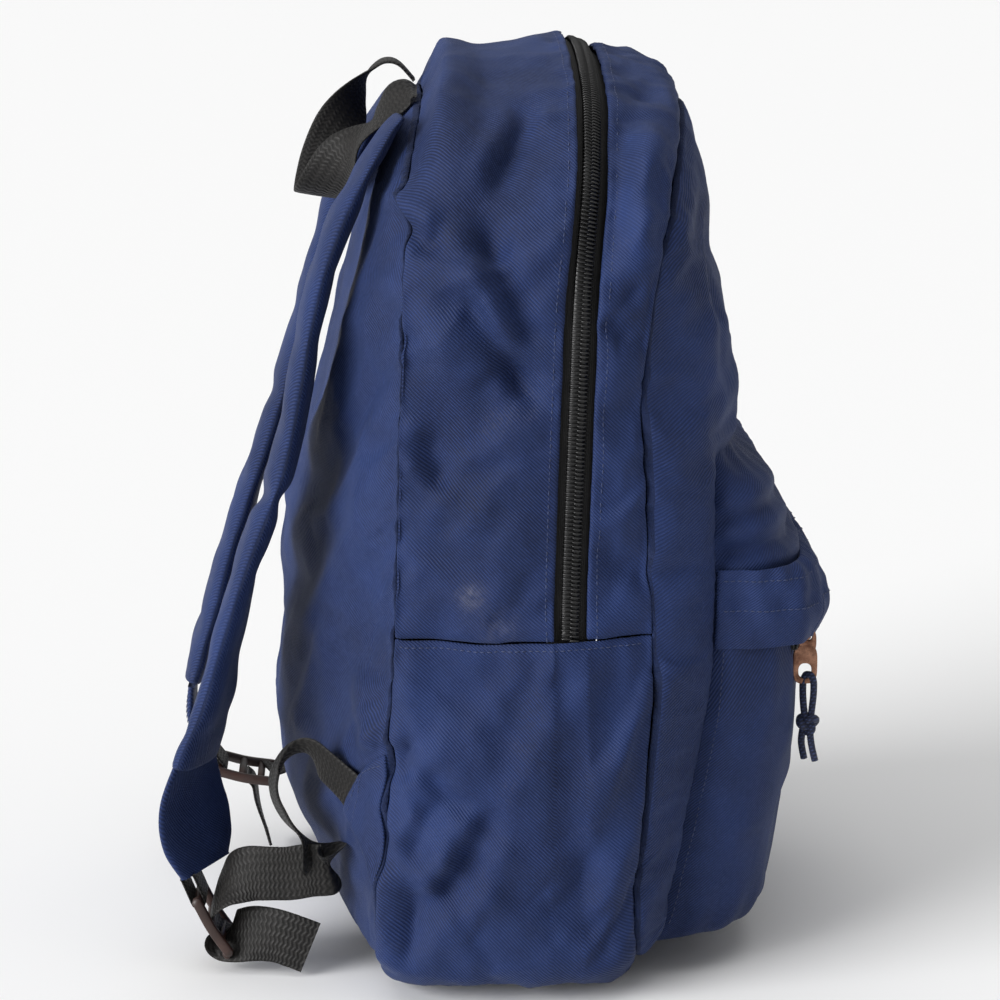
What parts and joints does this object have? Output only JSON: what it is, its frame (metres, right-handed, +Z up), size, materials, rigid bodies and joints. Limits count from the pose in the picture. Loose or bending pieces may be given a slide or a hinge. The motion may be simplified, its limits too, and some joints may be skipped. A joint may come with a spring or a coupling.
{
  "type": "school backpack",
  "caption": "Soft fabric backpack with a zip-around main compartment, flapped front pocket, padded shoulder straps with adjuster buckles, and a webbing haul loop.",
  "frame": {"origin": "on the floor under the middle of the flat base of the body", "axes": "+Z up the bag, -Y towards the front pocket, +Y towards the wearer's back and the straps, -X is the wearer's left"},
  "size_m": [0.3161, 0.298, 0.4124],
  "materials": {
    "twill": "navy polyester twill",
    "lining": "knitted spacer mesh",
    "foam": "closed-cell foam padding",
    "binding": "woven binding tape",
    "webbing": "ribbed polypropylene webbing",
    "zip_tape": "woven zip tape",
    "zip_coil": "moulded nylon coil",
    "zip_metal": "antique copper plate",
    "pull_cord": "braided cord",
    "buckle_plastic": "moulded acetal"
  },
  "bodies": {
    "bag": {"front_panel": "twill", "back_panel": "twill", "back_foam": "foam", "back_lining": "lining", "gusset_rear": "twill", "gusset_front": "twill", "base_gusset": "twill", "seam_binding_front": "binding", "seam_binding_back": "binding", "main_zip_tape": "zip_tape", "main_zip_coil": "zip_coil", "pocket_lower": "twill", "pocket_upper": "twill", "pocket_zip_tape": "zip_tape", "pocket_zip_coil": "zip_coil", "flap_end_left": "twill", "flap_end_right": "twill", "anchor_tab_left": "twill", "anchor_tab_right": "twill", "lower_web_left": "webbing", "lower_web_right": "webbing"},
    "haul_loop": {"haul_loop": "webbing"},
    "pocket_flap": {"pocket_flap": "twill"},
    "pocket_slider": {"pocket_slider": "zip_metal"},
    "pocket_pull": {"pocket_puller": "zip_metal", "pocket_cord": "pull_cord"},
    "main_slider": {"main_slider": "zip_metal"},
    "main_pull": {"main_puller": "zip_metal", "main_cord": "pull_cord"},
    "strap_left": {"strap_face_left": "twill", "strap_foam_left": "foam", "strap_lining_left": "lining", "strap_loop_left": "webbing", "web_band_left": "webbing"},
    "buckle_left": {"ladder_lock_left": "buckle_plastic", "web_tail_left": "webbing"},
    "strap_right": {"strap_face_right": "twill", "strap_foam_right": "foam", "strap_lining_right": "lining", "strap_loop_right": "webbing", "web_band_right": "webbing"},
    "buckle_right": {"ladder_lock_right": "buckle_plastic", "web_tail_right": "webbing"}
  },
  "joints": [
    {"name": "haul_loop_swing", "type": "hinge", "parent": "bag", "child": "haul_loop", "pos_m": [0, 0.0615, 0.391], "axis": [1, 0, 0], "range_deg": [0, 95]},
    {"name": "pocket_flap_lift", "type": "hinge", "parent": "bag", "child": "pocket_flap", "pos_m": [0, -0.1125, 0.187], "axis": [-1, 0, 0], "range_deg": [0, 40]},
    {"name": "pocket_slider_slide", "type": "slide", "parent": "bag", "child": "pocket_slider", "axis": [1, 0, 0], "range_m": [0, 0.168]},
    {"name": "pocket_pull_swing", "type": "hinge", "parent": "pocket_slider", "child": "pocket_pull", "pos_m": [-0.084, -0.1139, 0.15], "axis": [-1, 0, 0], "range_deg": [0, 8]},
    {"name": "main_slider_slide", "type": "slide", "parent": "bag", "child": "main_slider", "axis": [0, 0, 1], "range_m": [0, 0.115]},
    {"name": "main_pull_swing", "type": "hinge", "parent": "main_slider", "child": "main_pull", "pos_m": [0.15182, -0.00851, 0.176], "axis": [-0.1362, -0.9907, 0], "range_deg": [0, 150]},
    {"name": "strap_left_swing", "type": "hinge", "parent": "bag", "child": "strap_left", "pos_m": [-0.073, 0.07, 0.376], "axis": [1, 0, 0], "range_deg": [0, 10]},
    {"name": "strap_right_swing", "type": "hinge", "parent": "bag", "child": "strap_right", "pos_m": [0.073, 0.07, 0.376], "axis": [1, 0, 0], "range_deg": [0, 10]},
    {"name": "buckle_left_tilt", "type": "hinge", "parent": "strap_left", "child": "buckle_left", "pos_m": [-0.085, 0.1595, 0.033], "axis": [-1, 0, 0], "range_deg": [0, 8]},
    {"name": "buckle_right_tilt", "type": "hinge", "parent": "strap_right", "child": "buckle_right", "pos_m": [0.076, 0.156, 0.046], "axis": [-1, 0, 0], "range_deg": [0, 10]}
  ]
}
